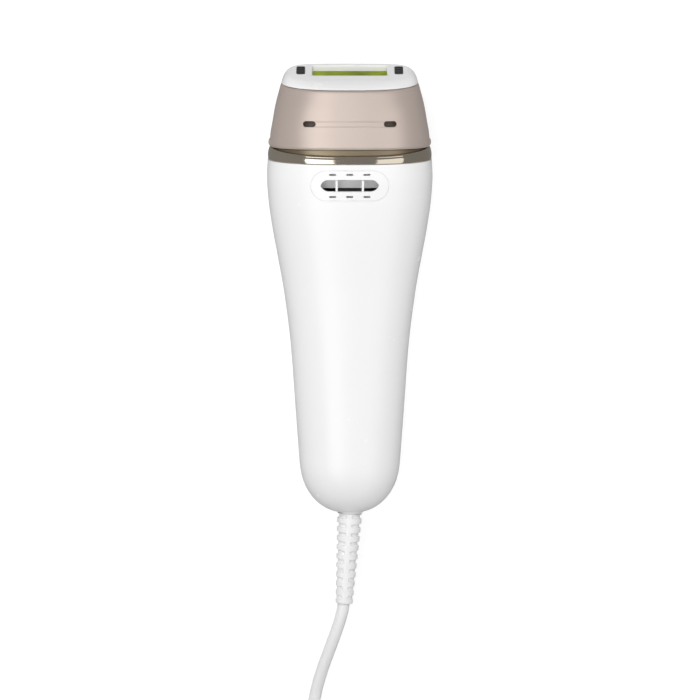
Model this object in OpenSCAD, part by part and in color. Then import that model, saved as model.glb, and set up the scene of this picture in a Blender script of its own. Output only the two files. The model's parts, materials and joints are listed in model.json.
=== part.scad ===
// Corded light-pulse hair remover, lying on its button side with the vent side up.
// X runs across the handset, Y along it towards the treatment head, Z up.
// The origin is on the surface, under the middle of the handset.

/* [Handset] */
// Widest width, at the shoulder below the trim ring
head_w = 71; // [69:0.5:73]
// Wall thickness of the two shells
shell_wall = 2.2; // [1.8:0.1:2.4]
// Height of the parting line between the two shells
split_z = 22; // [20:0.5:24]
// Length of the rounded end of the handle
end_l = 22.8; // [21:0.1:25]

/* [Treatment head] */
// Wall of the cap
cap_wall = 1.6; // [1.3:0.1:1.7]
// Lean of the skin face towards the vent side, in degrees
face_tilt = 14; // [12:0.5:15]
// Width of the treatment window
window_w = 32; // [30:0.5:33]
// Height of the treatment window
window_h = 13.5; // [12.5:0.5:14]
// Depth of the glass below the skin face
window_recess = 2.6; // [2.2:0.1:2.8]
// Width of the two skin sensor windows
sensor_w = 3.6; // [3:0.1:4]
// Length of the skin sensor windows
sensor_l = 10.6; // [9:0.2:11]
// Length of the two latch windows
latch_l = 5.4; // [5:0.1:6]
// Height of the two latch windows
latch_h = 2.5; // [2:0.1:3]

/* [Vent] */
// Length of the vent insert
vent_l = 33.2; // [31:0.2:34]
// Height of the vent insert
vent_h = 12.8; // [12:0.2:13.4]
// Length of the air slot
slot_l = 25.6; // [24:0.2:26]
// Height of the air slot
slot_h = 4.8; // [4:0.2:5]
// Outer side of the square fan
fan_w = 26; // [25:0.5:26]

/* [Controls] */
// Width of the flash button
flash_w = 13; // [11:0.5:14]
// Length of the flash button
flash_l = 20; // [18:0.5:21]
// Diameter of the mode button
mode_d = 9; // [8:0.5:10]

/* [Lamp] */
// Diameter of the flash lamp
lamp_d = 6; // [5:0.5:6]
// Length of the flash lamp between its electrodes
lamp_l = 38; // [36:1:38]

/* [Cord] */
// Diameter of the round lead
cord_d = 5.2; // [5:0.1:5.4]
// Length of the tapered strain relief outside the handle
relief_l = 39.4; // [37:0.2:41]
// Pairs of grooves in the strain relief
grooves = 10; // [6:1:10]
// Diameter of each plug pin
pin_d = 4; // [3.9:0.1:4.1]
// Length of each plug pin
pin_l = 19; // [18:0.5:19.5]
// Distance between the pins
pin_gap = 18.6; // [17.5:0.1:19]

/* [Hidden] */
$fn = 48;

// Colours
white = [0.96, 0.96, 0.95];
champagne = [0.80, 0.73, 0.68];
dark_gold = [0.50, 0.42, 0.33];
ring_metal = [0.78, 0.72, 0.64];
dark_brown = [0.20, 0.14, 0.11];
steel = [0.70, 0.70, 0.72];
aluminium = [0.80, 0.81, 0.83];
board_green = [0.10, 0.35, 0.20];
copper = [0.72, 0.45, 0.25];
black = [0.08, 0.08, 0.09];

// The head bends towards the vent side, so its sections lean about this height.
bend_z = 24;
k = head_w / 71;
sides = 40;

// Stations: place along Y, lean in degrees, half width, bottom, top, squareness
handle_y = -75;
end_power = 2.3;
handle_half = 21.7 * k;
handle_st = [
    [handle_y, 0, handle_half, 0.4, 36.6, 2.3],
    [-50, 0, 23.5 * k, 2.0, 37.8, 2.3],
    [-25, 0, 25.3 * k, 3.0, 39.6, 2.35],
    [0, 0, 28.4 * k, 3.2, 41.9, 2.4],
    [14, 0, 30.9 * k, 2.4, 43.8, 2.45],
    [28, 0, 33.4 * k, 1.2, 45.8, 2.55],
    [40, 0, 35.0 * k, 0.4, 47.3, 2.65],
    [49, 0, 35.5 * k, 0, 48, 2.7],
    [57.5, 0, 35.05 * k, 0.35, 47.65, 2.7]
];
cap_st = [
    [61.65, 0, 33.95 * k, 0.9, 47.1, 2.7],
    [62.7, 0.2, 34.3 * k, 0.6, 47.4, 2.7],
    [67, 1, 34.0 * k, 0.9, 47.1, 2.75],
    [72, 2.2, 33.15 * k, 1.4, 46.6, 2.8],
    [79, 4, 31.9 * k, 2.3, 45.7, 2.8],
    [85, 5.6, 30.35 * k, 3.1, 44.8, 2.6],
    [88.1, 6.4, 29.4 * k, 3.6, 44.3, 2.5],
    [88.7, 6.5, 28.9 * k, 4.1, 43.8, 2.5]
];
cap_hollow_st = concat(
    [[58, 0, 33.9 * k, 0.9, 47.1, 2.7]],
    [for (i = [2 : 5]) cap_st[i]],
    [[92, 6.5, 29.3 * k, 4.1, 43.9, 2.5]]
);
frame_st = [
    [86.9, 6.5, 27.6 * k, 5.5, 42.4, 2.5],
    [88.9, 6.5, 27.6 * k, 5.5, 42.4, 2.5],
    [89.0, 6.5, 29.2 * k, 3.8, 44.1, 2.5],
    [90.4, 8, 28.75 * k, 5.2, 42.2, 2.7],
    [91.8, 10, 27.9 * k, 7.4, 39.3, 3],
    [92.8, 12, 26.6 * k, 10.0, 35.8, 3.5],
    [93.3, face_tilt, 24.8 * k, 13.0, 31.4, 4.4]
];
frame_hollow_st = [
    [86, 6.5, 25.9 * k, 7.4, 40.4, 2.5],
    [89.2, 8, 25.4 * k, 9, 38.6, 2.8],
    [90.4, 12, 23.4 * k, 12.4, 33.4, 4]
];
collar_st = [
    [52.4, 0, 32.1 * k, 3.4, 44.6, 2.7],
    [56.1, 0, 32.1 * k, 3.4, 44.6, 2.7],
    [56.2, 0, 33 * k, 2.3, 45.7, 2.7],
    [61.2, 0, 33 * k, 2.3, 45.7, 2.7],
    [61.3, 0, 32 * k, 2.9, 45.1, 2.7],
    [67, 1, 31.9 * k, 3, 45, 2.75],
    [72, 2.2, 31 * k, 3.5, 44.5, 2.8],
    [76, 3.1, 30.3 * k, 4, 44, 2.85]
];
collar_wall = 1.6;
collar_hollow_st = [
    [48, 0, 31.9 * k, 3.4, 44.6, 2.7],
    [67, 1, 31.7 * k, 3.2, 44.8, 2.75],
    [80, 4, 29.5 * k, 4.8, 43.4, 2.9]
];

// Trim ring: outer section, then its profile as [place along Y, dip, distance inwards].
// Its edges dip on the vent side and the button side, the upper one more than the lower.
ring_section = [0, 0, 35 * k, 0.3, 47.7, 2.7];
ring_dip = 3.05;
ring_y = 56.1;
ring_low = 0.28;
ring_profile = [
    [ring_y, ring_low, 0.5], [56.5, ring_low, 0], [60.3, 0.85, 0], [61.25, 0.95, 0.35],
    [61.65, 1, 1], [61.45, 1, 1.9], [ring_y, ring_low, 1.9]
];
ring_gap = 0.1;

// Places
vent_y = 46.3;
fan_y = 43;
flash_y = 5;
mode_y = -20;
lights_y = -33;
window_y = 93.8;
window_z = 22;
latch_x = 17.2;
latch_y = 72.5;
sensor_x = 21;
fan_z = 30;
fan_h = 8;
lamp_y = 67;
lamp_z = 24;
housing_y = 57;
board_z = 17;
board_t = 1.6;
button_bottom = 1.7;
screw_x = [[17, -58], [20, -8], [27, 38]];
screw_r = 1.25;

// Where the lead leaves the handle, and how it turns sideways
exit_y = -98;
exit_z = 18;
exit_yaw = -3.6;
exit_r = 4.6;
boss_r = 5.6;

// The lead's route from inside the handle to the coil
route = [
    [1.2, -79, 18], [0, -98, 18], [-0.8, -111, 18], [-1.6, -124, 18], [-2.5, -138, 18],
    [-4, -144.3, 17.3], [-5.75, -149.8, 15.95], [-8.6, -158, 13.05], [-11.4, -166, 9.7],
    [-13.8, -174, 6.5], [-15.7, -183, 3.7], [-16.7, -192, 2.6], [-17, -202, 2.6], [-17, -213, 2.6]
];
tail_route = [[-17, -240, 7.6], [-17, -246, 7.2], [-17, -252, 6.9]];

// The coil: two layers of four turns, a diameter apart
coil_x = 22;
coil_y = -226;
coil_mid_r = 31.2;
coil_columns = 4;
coil_layers = 2;
plug_y = -258;
plug_x = -17;
plug_t = 13.7;
plug_w = 35.3;
plug_l = 36;

function sgn(v) = v < 0 ? -1 : 1;
function super(v, n) = sgn(v) * pow(abs(v), 2 / n);
function section_point(s, a, off) =
    let (half_h = (s[4] - s[3]) / 2 - off,
         z = (s[3] + s[4]) / 2 + half_h * super(sin(a), s[5]))
    [(s[2] - off) * super(cos(a), s[5]), s[0] - (z - bend_z) * tan(s[1]), z];
function section(s, off) = [for (i = [0 : sides - 1]) section_point(s, i * 360 / sides, off)];
function skin_faces(rings, n) = [
    for (j = [0 : rings - 2]) for (i = [0 : n - 1]) each [
        [j * n + i, j * n + (i + 1) % n, (j + 1) * n + (i + 1) % n],
        [j * n + i, (j + 1) * n + (i + 1) % n, (j + 1) * n + i]
    ]
];

// A solid through rings of n points each, ordered along the solid
module skin(rings) {
    n = len(rings[0]);
    first = [for (i = [n - 1 : -1 : 0]) i];
    last = [for (i = [0 : n - 1]) (len(rings) - 1) * n + i];
    polyhedron([for (r = rings) each r], concat([first, last], skin_faces(len(rings), n)));
}

module loft(stations, off = 0) {
    skin([for (s = stations) section(s, off)]);
}

// The rounded end of the handle, off millimetres inside the outer surface
function end_width(u) = pow(1 - pow(u, end_power), 1 / end_power);
function end_stations(off) = [
    for (u = [0.995, 0.96, 0.88, 0.76, 0.6, 0.42, 0.22])
        let (half_h = (18.1 - off) * end_width(u))
        [handle_y - (end_l - off) * u, 0, (handle_half - off) * end_width(u),
         18.5 - half_h, 18.5 + half_h, 2.3]
];
function inset(stations, off) = [for (s = stations) [s[0], s[1], s[2] - off, s[3] + off, s[4] - off, s[5]]];
function body_stations(off, past) = concat(
    end_stations(off),
    inset([for (i = [0 : 7]) handle_st[i]], off),
    inset([[57.5 + past, 0, 35.05 * k, 0.35, 47.65, 2.7]], off)
);

module body_outer() {
    loft(body_stations(0, 0));
    at_exit() translate([0, 0, -7]) cylinder(r1 = 7.8, r2 = boss_r, h = 6.4);
}

// Everything past the lower edge of the trim ring
module past_ring() {
    edge = [for (z = [-6 : 2 : 54]) let (lift = (z - bend_z) / bend_z)
        [ring_y - ring_gap - ring_low * ring_dip * lift * lift, z]];
    translate([-60, 0, 0]) rotate([90, 0, 90]) linear_extrude(120)
        polygon(concat(edge, [[70, 54], [70, -6]]));
}

module body_inner(off) {
    loft(body_stations(off, 3));
}

module stadium(l, w, h) {
    r = w / 2;
    linear_extrude(h) {
        translate([-(l - w) / 2, 0]) circle(r);
        translate([(l - w) / 2, 0]) circle(r);
        square([l - w, w], center = true);
    }
}

module rounded_bar(l, w, h, r) {
    linear_extrude(h) {
        square([l - 2 * r, w], center = true);
        square([l, w - 2 * r], center = true);
        for (sx = [-1, 1]) for (sy = [-1, 1])
            translate([sx * (l / 2 - r), sy * (w / 2 - r)]) circle(r);
    }
}

// Local z stands out of the skin face, local x runs across it
module at_window() {
    translate([0, window_y, window_z]) rotate([face_tilt - 90, 0, 0]) children();
}

// Local z runs out of the handle along the lead
module at_exit() {
    translate([0, exit_y, exit_z]) rotate([90, 0, exit_yaw]) children();
}

module at_screws() {
    for (p = screw_x) for (sx = [-1, 1]) translate([sx * p[0], p[1], 0]) children();
}

module rear_shell() {
    color(white) difference() {
        union() {
            difference() {
                body_outer();
                body_inner(shell_wall);
            }
            intersection() {
                body_outer();
                at_screws() translate([0, 0, split_z]) cylinder(r = 3.2, h = 30);
            }
        }
        translate([-60, -120, -1]) cube([120, 200, split_z + 1]);
        translate([0, vent_y, 36]) stadium(vent_l + 0.2, vent_h + 0.2, 20);
        at_screws() translate([0, 0, split_z - 1]) cylinder(r = screw_r, h = 9);
        at_exit() translate([0, 0, -12]) cylinder(r = exit_r, h = 20);
        past_ring();
    }
}

module front_shell() {
    color(white) difference() {
        union() {
            difference() {
                body_outer();
                body_inner(shell_wall);
            }
            intersection() {
                body_outer();
                at_screws() cylinder(r = 3.2, h = split_z);
            }
        }
        translate([-60, -120, split_z]) cube([120, 200, 40]);
        translate([0, flash_y, -1]) rotate(90) stadium(flash_l + 4.2, flash_w + 4.2, 9);
        translate([0, mode_y, -1]) cylinder(d = mode_d + 0.6, h = 9);
        at_lights() translate([0, 0, -1]) cylinder(d = 1.8, h = 9);
        at_screws() translate([0, 0, -1]) cylinder(r = 1.4, h = split_z + 2);
        at_screws() translate([0, 0, -1]) cylinder(r = 2.6, h = 10.5);
        at_exit() translate([0, 0, -12]) cylinder(r = exit_r, h = 20);
        past_ring();
    }
}

module at_lights() {
    for (i = [-2 : 2]) translate([i * 4, lights_y, 0]) children();
}

module vent_insert() {
    color(white) difference() {
        intersection() {
            difference() {
                body_outer();
                body_inner(shell_wall);
            }
            translate([0, vent_y, 36]) stadium(vent_l, vent_h, 20);
        }
        difference() {
            translate([0, vent_y, 36]) linear_extrude(20) polygon(slot_outline(slot_l / 2, slot_h / 2));
            for (sx = [-1, 1]) translate([sx * 5.6 - 0.4, vent_y - 5, 30]) cube([0.8, 10, 20]);
        }
        for (x = [-7.3, 0, 7.3]) for (sy = [-1, 1]) translate([x, vent_y + sy * 4.75, 36])
            stadium(3, 0.8, 20);
    }
}

// The air slot is a bar with pointed ends
function slot_outline(hl, hh) = [
    [-hl, 0], [-hl + hh, -hh], [hl - hh, -hh], [hl, 0], [hl - hh, hh], [-hl + hh, hh]
];

function ring_loop(p) = [
    for (q = section(ring_section, p[2])) let (lift = (q[2] - bend_z) / bend_z)
        [q[0], p[0] - p[1] * ring_dip * lift * lift, q[2]]
];

module trim_ring() {
    rings = [for (p = ring_profile) ring_loop(p)];
    n = len(rings);
    color(ring_metal) polyhedron([for (r = rings) each r], [
        for (f = skin_faces(n + 1, sides)) [for (v = f) v % (n * sides)]
    ]);
}

module head_collar() {
    color(dark_gold) difference() {
        loft(collar_st);
        loft(collar_hollow_st, collar_wall);
        for (sx = [-1, 1]) translate([sx * latch_x, latch_y, 30])
            stadium(latch_l + 2.1, latch_h + 2.1, 20);
    }
}

module latch_tongues() {
    color(dark_brown) difference() {
        intersection() {
            loft(collar_st);
            for (sx = [-1, 1]) translate([sx * latch_x, latch_y, 30])
                stadium(latch_l + 2, latch_h + 2, 20);
        }
        loft(collar_hollow_st, collar_wall + 1);
    }
}

module chassis() {
    color(black) {
        translate([-13, -70, 13]) cube([26, 100, 1.6]);
        for (x = [-10, 10]) for (y = [-62, -16, 26]) translate([x, y, 14.6])
            cylinder(r = 1.8, h = board_z - 14.6);
        for (x = [-13, 11.4]) translate([x, -70, 10]) cube([1.6, 100, 3]);
    }
}

module main_board() {
    color(board_green) difference() {
        translate([-13, -66, board_z]) cube([26, 96, board_t]);
        for (x = [-10, 10]) for (y = [-62, 26]) translate([x, y, board_z - 1]) cylinder(r = 1, h = 4);
    }
}

module flash_capacitor() {
    top = board_z + board_t;
    color(black) translate([0, -32, top + 8]) rotate([-90, 0, 0]) {
        cylinder(r = 8, h = 38);
        cylinder(r = 7.2, h = 38.6);
    }
}

module charge_transformer() {
    top = board_z + board_t;
    color(copper) {
        translate([-8, -50, top]) cube([16, 15, 3]);
        translate([-8, -50, top + 9]) cube([16, 15, 3]);
        translate([-8, -50, top + 3]) cube([3, 15, 6]);
        translate([5, -50, top + 3]) cube([3, 15, 6]);
        translate([-4.6, -49, top + 3]) cube([9.2, 13, 6]);
    }
}

module filter_choke() {
    color(copper) translate([-5, -59, board_z + board_t]) difference() {
        cylinder(r = 6.5, h = 8);
        translate([0, 0, -1]) cylinder(r = 2.6, h = 10);
    }
}

module mains_fuse() {
    top = board_z + board_t;
    color(steel) translate([7, -64, top + 2.6]) rotate([-90, 0, 0]) {
        cylinder(r = 2.2, h = 11);
        cylinder(r = 2.6, h = 2.4);
        translate([0, 0, 8.6]) cylinder(r = 2.6, h = 2.4);
    }
}

module trigger_coil() {
    top = board_z + board_t;
    color(copper) translate([-6, 12, top]) {
        cylinder(r = 4.5, h = 2);
        cylinder(r = 3.6, h = 12);
        translate([0, 0, 10]) cylinder(r = 4.5, h = 2);
    }
}

module power_switch() {
    top = board_z + board_t;
    color(black) {
        translate([3, 9, top]) cube([9, 4, 13]);
        translate([2, 13, top]) cube([11, 1.5, 16]);
    }
}

module lamp_housing() {
    color(black) difference() {
        translate([-25, housing_y, lamp_z - 12]) cube([50, 20, 24]);
        translate([-23.4, housing_y + 2, lamp_z - 10.4]) cube([46.8, 20, 20.8]);
    }
}

// Trough of the reflector: a parabola with straight lips, turned to face the window
focus = 4.2;
trough_half = 8;
trough_y = lamp_y - focus;
function trough(off) = [for (z = [-trough_half - off, -6, -4, -2, 0, 2, 4, 6, trough_half + off])
    [trough_y - off + z * z / (4 * focus), z]];
lip_y = housing_y + 19;
function trough_profile() = concat(
    [[lip_y, -trough_half - 0.6]], trough(0.6), [[lip_y, trough_half + 0.6], [lip_y, trough_half]],
    [for (i = [8 : -1 : 0]) trough(0)[i]], [[lip_y, -trough_half]]
);

module reflector() {
    color(aluminium) translate([-19, 0, lamp_z]) rotate([90, 0, 90]) linear_extrude(38)
        polygon(trough_profile());
}

module along_x(x0, y, z) {
    translate([x0, y, z]) rotate([0, 90, 0]) children();
}

module lamp_tube() {
    color([0.8, 0.85, 0.9]) along_x(-lamp_l / 2, lamp_y, lamp_z) difference() {
        cylinder(d = lamp_d, h = lamp_l);
        translate([0, 0, -1]) cylinder(d = lamp_d - 1.4, h = lamp_l + 2);
    }
}

module lamp_electrodes() {
    color(steel) for (sx = [-1, 1]) {
        x0 = sx < 0 ? -lamp_l / 2 - 4 : lamp_l / 2;
        along_x(x0, lamp_y, lamp_z) cylinder(d = lamp_d, h = 4);
    }
}

module lamp_holders() {
    color(white) for (sx = [-1, 1]) difference() {
        translate([sx * 21.3 - 2, lamp_y - 5, lamp_z - 5]) cube([4, 10, 10]);
        along_x(sx * 21.3 - 3, lamp_y, lamp_z) cylinder(d = lamp_d, h = 6);
    }
}

module lamp_glass() {
    color([0.75, 0.85, 0.95]) translate([-24.5, housing_y + 20, lamp_z - 11.5]) cube([49, 1.4, 23]);
}

module heat_sink() {
    color(aluminium) {
        translate([-20, 55, 13]) cube([40, 2, 16]);
        for (i = [0 : 12]) translate([-20 + i * 3.25, 44, 13]) cube([1, 11, 16]);
    }
}

module fan_frame() {
    color(black) translate([0, fan_y, fan_z]) {
        difference() {
            translate([-fan_w / 2, -fan_w / 2, 0]) cube([fan_w, fan_w, fan_h]);
            translate([0, 0, -1]) cylinder(r = fan_w / 2 - 0.8, h = fan_h + 2);
        }
        difference() {
            union() {
                cylinder(r = 6.5, h = 1.5);
                for (a = [0, 120, 240]) rotate(a) translate([0, -0.8, 0])
                    cube([fan_w / 2 - 0.4, 1.6, 1.5]);
            }
            translate([0, 0, -1]) cylinder(r = 1.05, h = 4);
        }
    }
}

module fan_impeller() {
    blade_r = fan_w / 2 - 1.3;
    color(black) translate([0, fan_y, fan_z]) {
        translate([0, 0, 0.2]) cylinder(r = 1, h = 2.2);
        translate([0, 0, 1.9]) cylinder(r = 6, h = 5.4);
        for (i = [0 : 6]) rotate(i * 360 / 7) translate([blade_r / 2 + 2.6, 0, 4.5]) rotate([38, 0, 0])
            cube([blade_r - 5.2, 0.8, 5.4], center = true);
    }
}

// A short duct from the fan to the slot, with one sloping louvre under the slot
module air_duct() {
    duct_z = fan_z + fan_h;
    color(white) {
        difference() {
            translate([-14.2, vent_y - 6.1, duct_z]) cube([28.4, 12.2, 5.6]);
            translate([-13, vent_y - 4.9, duct_z - 1]) cube([26, 9.8, 8]);
        }
        translate([-13, vent_y, duct_z]) rotate([90, 0, 90]) linear_extrude(26)
            polygon([[-1.2, 1], [5, 4], [5, 5], [-1.5, 1.9]]);
    }
}

module contact_block() {
    color(black) difference() {
        translate([-9, 68, 8.4]) cube([18, 8, 3.6]);
        for (i = [-1.5 : 1.5]) translate([i * 4.4, 67, 10.2]) rotate([-90, 0, 0]) cylinder(r = 0.8, h = 10);
    }
}

module contact_pins() {
    color([0.85, 0.70, 0.35]) for (i = [-1.5 : 1.5]) translate([i * 4.4, 66, 10.2]) rotate([-90, 0, 0]) {
        cylinder(r = 0.8, h = 11);
        cylinder(r = 0.5, h = 13.8);
    }
}

module button_board() {
    color(board_green) translate([-9, -38, 10.6 - 3.6]) translate([0, 0, 2.2]) cube([18, 56, 1]);
}

module tact_switches() {
    color(steel) {
        translate([-3, flash_y - 3, 7.1]) cube([6, 6, 2.1]);
        translate([-3, mode_y - 3, 7.1]) cube([6, 6, 2.1]);
    }
}

module indicator_lights() {
    color([0.9, 0.95, 1]) at_lights() translate([0, 0, 3.4]) cylinder(d = 1.8, h = 4.6);
}

module button_bezel() {
    color(ring_metal) translate([0, flash_y, 2.4]) difference() {
        rotate(90) stadium(flash_l + 4, flash_w + 4, 2.9);
        translate([0, 0, -1]) rotate(90) stadium(flash_l + 0.7, flash_w + 0.7, 5);
    }
}

module flash_button() {
    color(champagne) translate([0, flash_y, 0]) {
        translate([0, 0, button_bottom]) rotate(90) stadium(flash_l, flash_w, 4.5);
        translate([0, 0, 5.6]) rotate(90) stadium(flash_l + 2.4, flash_w + 2.4, 0.6);
    }
}

module mode_button() {
    color(white) translate([0, mode_y, 0]) {
        translate([0, 0, 2.2]) cylinder(d = mode_d, h = 4);
        translate([0, 0, 5.7]) cylinder(d = mode_d + 2, h = 0.7);
    }
}

module shell_screws() {
    color(steel) at_screws() {
        difference() {
            translate([0, 0, 7.5]) cylinder(r = 2.4, h = 2);
            translate([0, 0, 7.4]) cylinder(r = 1, h = 1.2, $fn = 6);
        }
        translate([0, 0, 9.5]) cylinder(r = screw_r, h = 20.5);
    }
}

module cord_clamp() {
    color(black) difference() {
        translate([-9, -82, 12]) cube([18, 6, 12]);
        at_exit() translate([0, 0, -30]) cylinder(d = cord_d, h = 30);
        for (x = [-6.5, 6.5]) translate([x, -79, 11]) cylinder(r = 1, h = 14);
    }
}

module clamp_screws() {
    color(steel) for (x = [-6.5, 6.5]) translate([x, -79, 0]) {
        translate([0, 0, 13]) cylinder(r = 1, h = 11);
        translate([0, 0, 24]) cylinder(r = 1.9, h = 1.4);
    }
}

module head_cap() {
    color(champagne) difference() {
        union() {
            loft(cap_st);
            for (sx = [-1, 1]) translate([sx * 33.6 * k, 63.4, bend_z]) cube([2.4, 3.2, 12], center = true);
        }
        loft(cap_hollow_st, cap_wall);
        for (sx = [-1, 1]) translate([sx * latch_x, latch_y, 30]) stadium(latch_l, latch_h, 20);
        difference() {
            for (dy = [-1.1, 1.1]) translate([-15, latch_y + dy - 0.2, 30]) cube([30, 0.4, 20]);
            loft(cap_st, 0.3);
        }
    }
}

module window_frame() {
    color(white) difference() {
        union() {
            difference() {
                loft(frame_st);
                loft(frame_hollow_st);
            }
            at_window() translate([0, 0, -4.2]) rounded_bar(window_w + 6, window_h + 5, 3, 2);
        }
        at_window() translate([0, 0, -3]) rounded_bar(window_w, window_h, 5, 1);
        at_window() translate([0, 0, -window_recess - 5]) rounded_bar(window_w + 2, window_h + 2, 5, 1);
        for (sx = [-1, 1]) at_window() translate([sx * sensor_x, 0, -8])
            rounded_bar(sensor_w + 0.1, sensor_l + 0.1, 10, 0.8);
    }
}

module filter_glass() {
    color([0.65, 0.72, 0.15]) at_window() translate([0, 0, -window_recess - 2])
        rounded_bar(window_w + 1.9, window_h + 1.9, 2, 1);
}

module light_guide() {
    color(aluminium) at_window() translate([0, 0, -10]) difference() {
        rounded_bar(window_w + 1.6, window_h + 1.6, 8 - window_recess, 1);
        translate([0, 0, -1]) rounded_bar(window_w, window_h, 8, 0.8);
    }
}

module sensor_windows() {
    color(black) for (sx = [-1, 1]) at_window() translate([sx * sensor_x, 0, -7.6])
        rounded_bar(sensor_w, sensor_l, 7.5, 0.8);
}

module sensor_board() {
    color(board_green) difference() {
        translate([-22, 80.2, 9.8]) cube([44, 1.2, 28]);
        translate([-17.5, 79, 12.4]) cube([35, 4, 18.4]);
    }
}

// Radii of the strain relief at its root and its tip, outside and at the bottom of its grooves
relief_root = [5.4, 3.9];
relief_tip = [3.7, 3.05];
groove_w = 1.5;
spine_w = 2.3;
groove_start = 1.2;

// Grooves run round both sides and stop at a spine above and below
module strain_relief() {
    pitch = (relief_l - 4) / (grooves - 1);
    color(white) at_exit() difference() {
        union() {
            translate([0, 0, 0.05]) cylinder(r1 = relief_root[0], r2 = relief_tip[0], h = relief_l - 0.05);
            translate([0, 0, -6]) cylinder(r = exit_r - 0.1, h = 6.1);
            translate([0, 0, -8.5]) cylinder(r = 6.8, h = 2.6);
        }
        translate([0, 0, -10]) cylinder(d = cord_d, h = relief_l + 12);
        for (i = [0 : grooves - 1]) {
            z = groove_start + i * pitch;
            core = relief_root[1] + (relief_tip[1] - relief_root[1]) * z / relief_l;
            translate([0, 0, z - groove_w / 2]) difference() {
                cylinder(r = 8, h = groove_w);
                translate([0, 0, -1]) cylinder(r = core, h = groove_w + 2);
                translate([-spine_w / 2, -9, -1]) cube([spine_w, 18, groove_w + 2]);
            }
        }
    }
}

// Ring of points round the lead at one point of its route
function unit(v) = v / norm(v);
function along(path, i) = unit(path[min(i + 1, len(path) - 1)] - path[max(i - 1, 0)]);
function tube_ring(path, i) =
    let (t = along(path, i), side = unit(cross(t, [0, 0, 1])), up = cross(side, t))
    [for (a = [0 : 30 : 330]) path[i] - (side * cos(a) - up * sin(a)) * cord_d / 2];

module tube(path) {
    skin([for (i = [len(path) - 1 : -1 : 0]) tube_ring(path, i)]);
}

module cord_tube() {
    color(white) tube(route);
}

module cord_tail() {
    color(white) tube(tail_route);
}

module cord_coil() {
    half_w = coil_columns * cord_d / 2;
    color(white) translate([coil_x, coil_y, 0]) rotate_extrude()
        translate([coil_mid_r - half_w, 0]) square([2 * half_w, coil_layers * cord_d]);
}

module cord_tie() {
    bundle = coil_columns * cord_d;
    inner_x = coil_x + coil_mid_r - bundle / 2;
    color(black) difference() {
        translate([inner_x - 1, coil_y - 4, 0]) cube([bundle + 2, 8, coil_layers * cord_d + 0.8]);
        translate([inner_x - 0.2, coil_y - 5, 0.5]) cube([bundle + 0.4, 10, coil_layers * cord_d - 0.5]);
    }
}

module plug_body() {
    half = plug_w / 2;
    color(white) translate([plug_x, plug_y, 0]) difference() {
        union() {
            linear_extrude(plug_t) polygon([
                [-5, 0], [-9, -6], [-half, -22], [-half, -plug_l],
                [half, -plug_l], [half, -22], [9, -6], [5, 0]
            ]);
            translate([0, -1, plug_t / 2]) rotate([-90, 0, 0]) cylinder(r1 = 4.8, r2 = 3.4, h = 13);
        }
        translate([0, 5, plug_t / 2]) rotate([-90, 0, 0]) cylinder(d = cord_d, h = 10);
    }
}

module plug_pins() {
    color(steel) for (sx = [-1, 1])
        translate([plug_x + sx * pin_gap / 2, plug_y - plug_l, plug_t / 2]) rotate([90, 0, 0])
            cylinder(d = pin_d, h = pin_l);
}

rear_shell();
front_shell();
vent_insert();
trim_ring();
head_collar();
latch_tongues();
chassis();
lamp_housing();
reflector();
lamp_tube();
lamp_electrodes();
lamp_holders();
lamp_glass();
heat_sink();
fan_frame();
fan_impeller();
air_duct();
contact_block();
contact_pins();
main_board();
flash_capacitor();
charge_transformer();
filter_choke();
trigger_coil();
power_switch();
mains_fuse();
button_board();
tact_switches();
indicator_lights();
button_bezel();
flash_button();
mode_button();
shell_screws();
cord_clamp();
clamp_screws();
head_cap();
window_frame();
filter_glass();
light_guide();
sensor_windows();
sensor_board();
strain_relief();
cord_tube();
cord_coil();
cord_tail();
cord_tie();
plug_body();
plug_pins();
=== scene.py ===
"""Looks of a corded light-pulse hair remover that lies on its button side, vent side up.

X runs across the handset, Y along it towards the treatment head, Z up. Lengths in this
script are in millimetres and become metres where a mesh is made.
"""
import json
import math

import bmesh
import bpy
import numpy as np
from mathutils import Matrix, Vector


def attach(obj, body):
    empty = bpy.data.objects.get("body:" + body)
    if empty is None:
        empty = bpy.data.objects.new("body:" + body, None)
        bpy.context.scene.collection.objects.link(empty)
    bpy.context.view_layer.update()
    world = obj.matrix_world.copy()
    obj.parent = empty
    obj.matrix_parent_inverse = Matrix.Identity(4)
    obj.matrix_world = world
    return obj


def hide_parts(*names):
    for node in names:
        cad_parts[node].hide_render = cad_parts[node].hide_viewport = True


MM = 0.001
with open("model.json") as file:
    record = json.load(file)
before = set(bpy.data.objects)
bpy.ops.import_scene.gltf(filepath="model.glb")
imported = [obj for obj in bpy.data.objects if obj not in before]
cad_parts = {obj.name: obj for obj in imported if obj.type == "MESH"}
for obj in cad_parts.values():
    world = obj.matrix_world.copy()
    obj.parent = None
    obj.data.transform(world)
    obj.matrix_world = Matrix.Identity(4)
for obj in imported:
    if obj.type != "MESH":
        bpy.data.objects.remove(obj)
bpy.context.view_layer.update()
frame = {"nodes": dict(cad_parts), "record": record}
record = frame["record"]
AROUND = 168

# ---------------------------------------------------------------- camera and stage

CAMERA_DISTANCE = 3000
CAMERA_LEAN = 6.3
TARGET = (0.1, -26.5, 24)
VIEW_HEIGHT = 301
SENSOR_WIDTH = 36


def make_camera():
    """A long lens almost straight above the object, leaning a little towards the head."""
    lean = math.radians(CAMERA_LEAN)
    data = bpy.data.cameras.new("camera")
    data.sensor_width = SENSOR_WIDTH
    data.lens = data.sensor_width * CAMERA_DISTANCE / VIEW_HEIGHT
    data.clip_end = 50
    camera = bpy.data.objects.new("camera", data)
    bpy.context.scene.collection.objects.link(camera)
    away = Vector((0, math.sin(lean), math.cos(lean))) * CAMERA_DISTANCE
    camera.location = (Vector(TARGET) + away) * MM
    camera.rotation_euler = (-lean, 0, 0)
    bpy.context.scene.camera = camera


# ---------------------------------------------------------------- sections of the object

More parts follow.
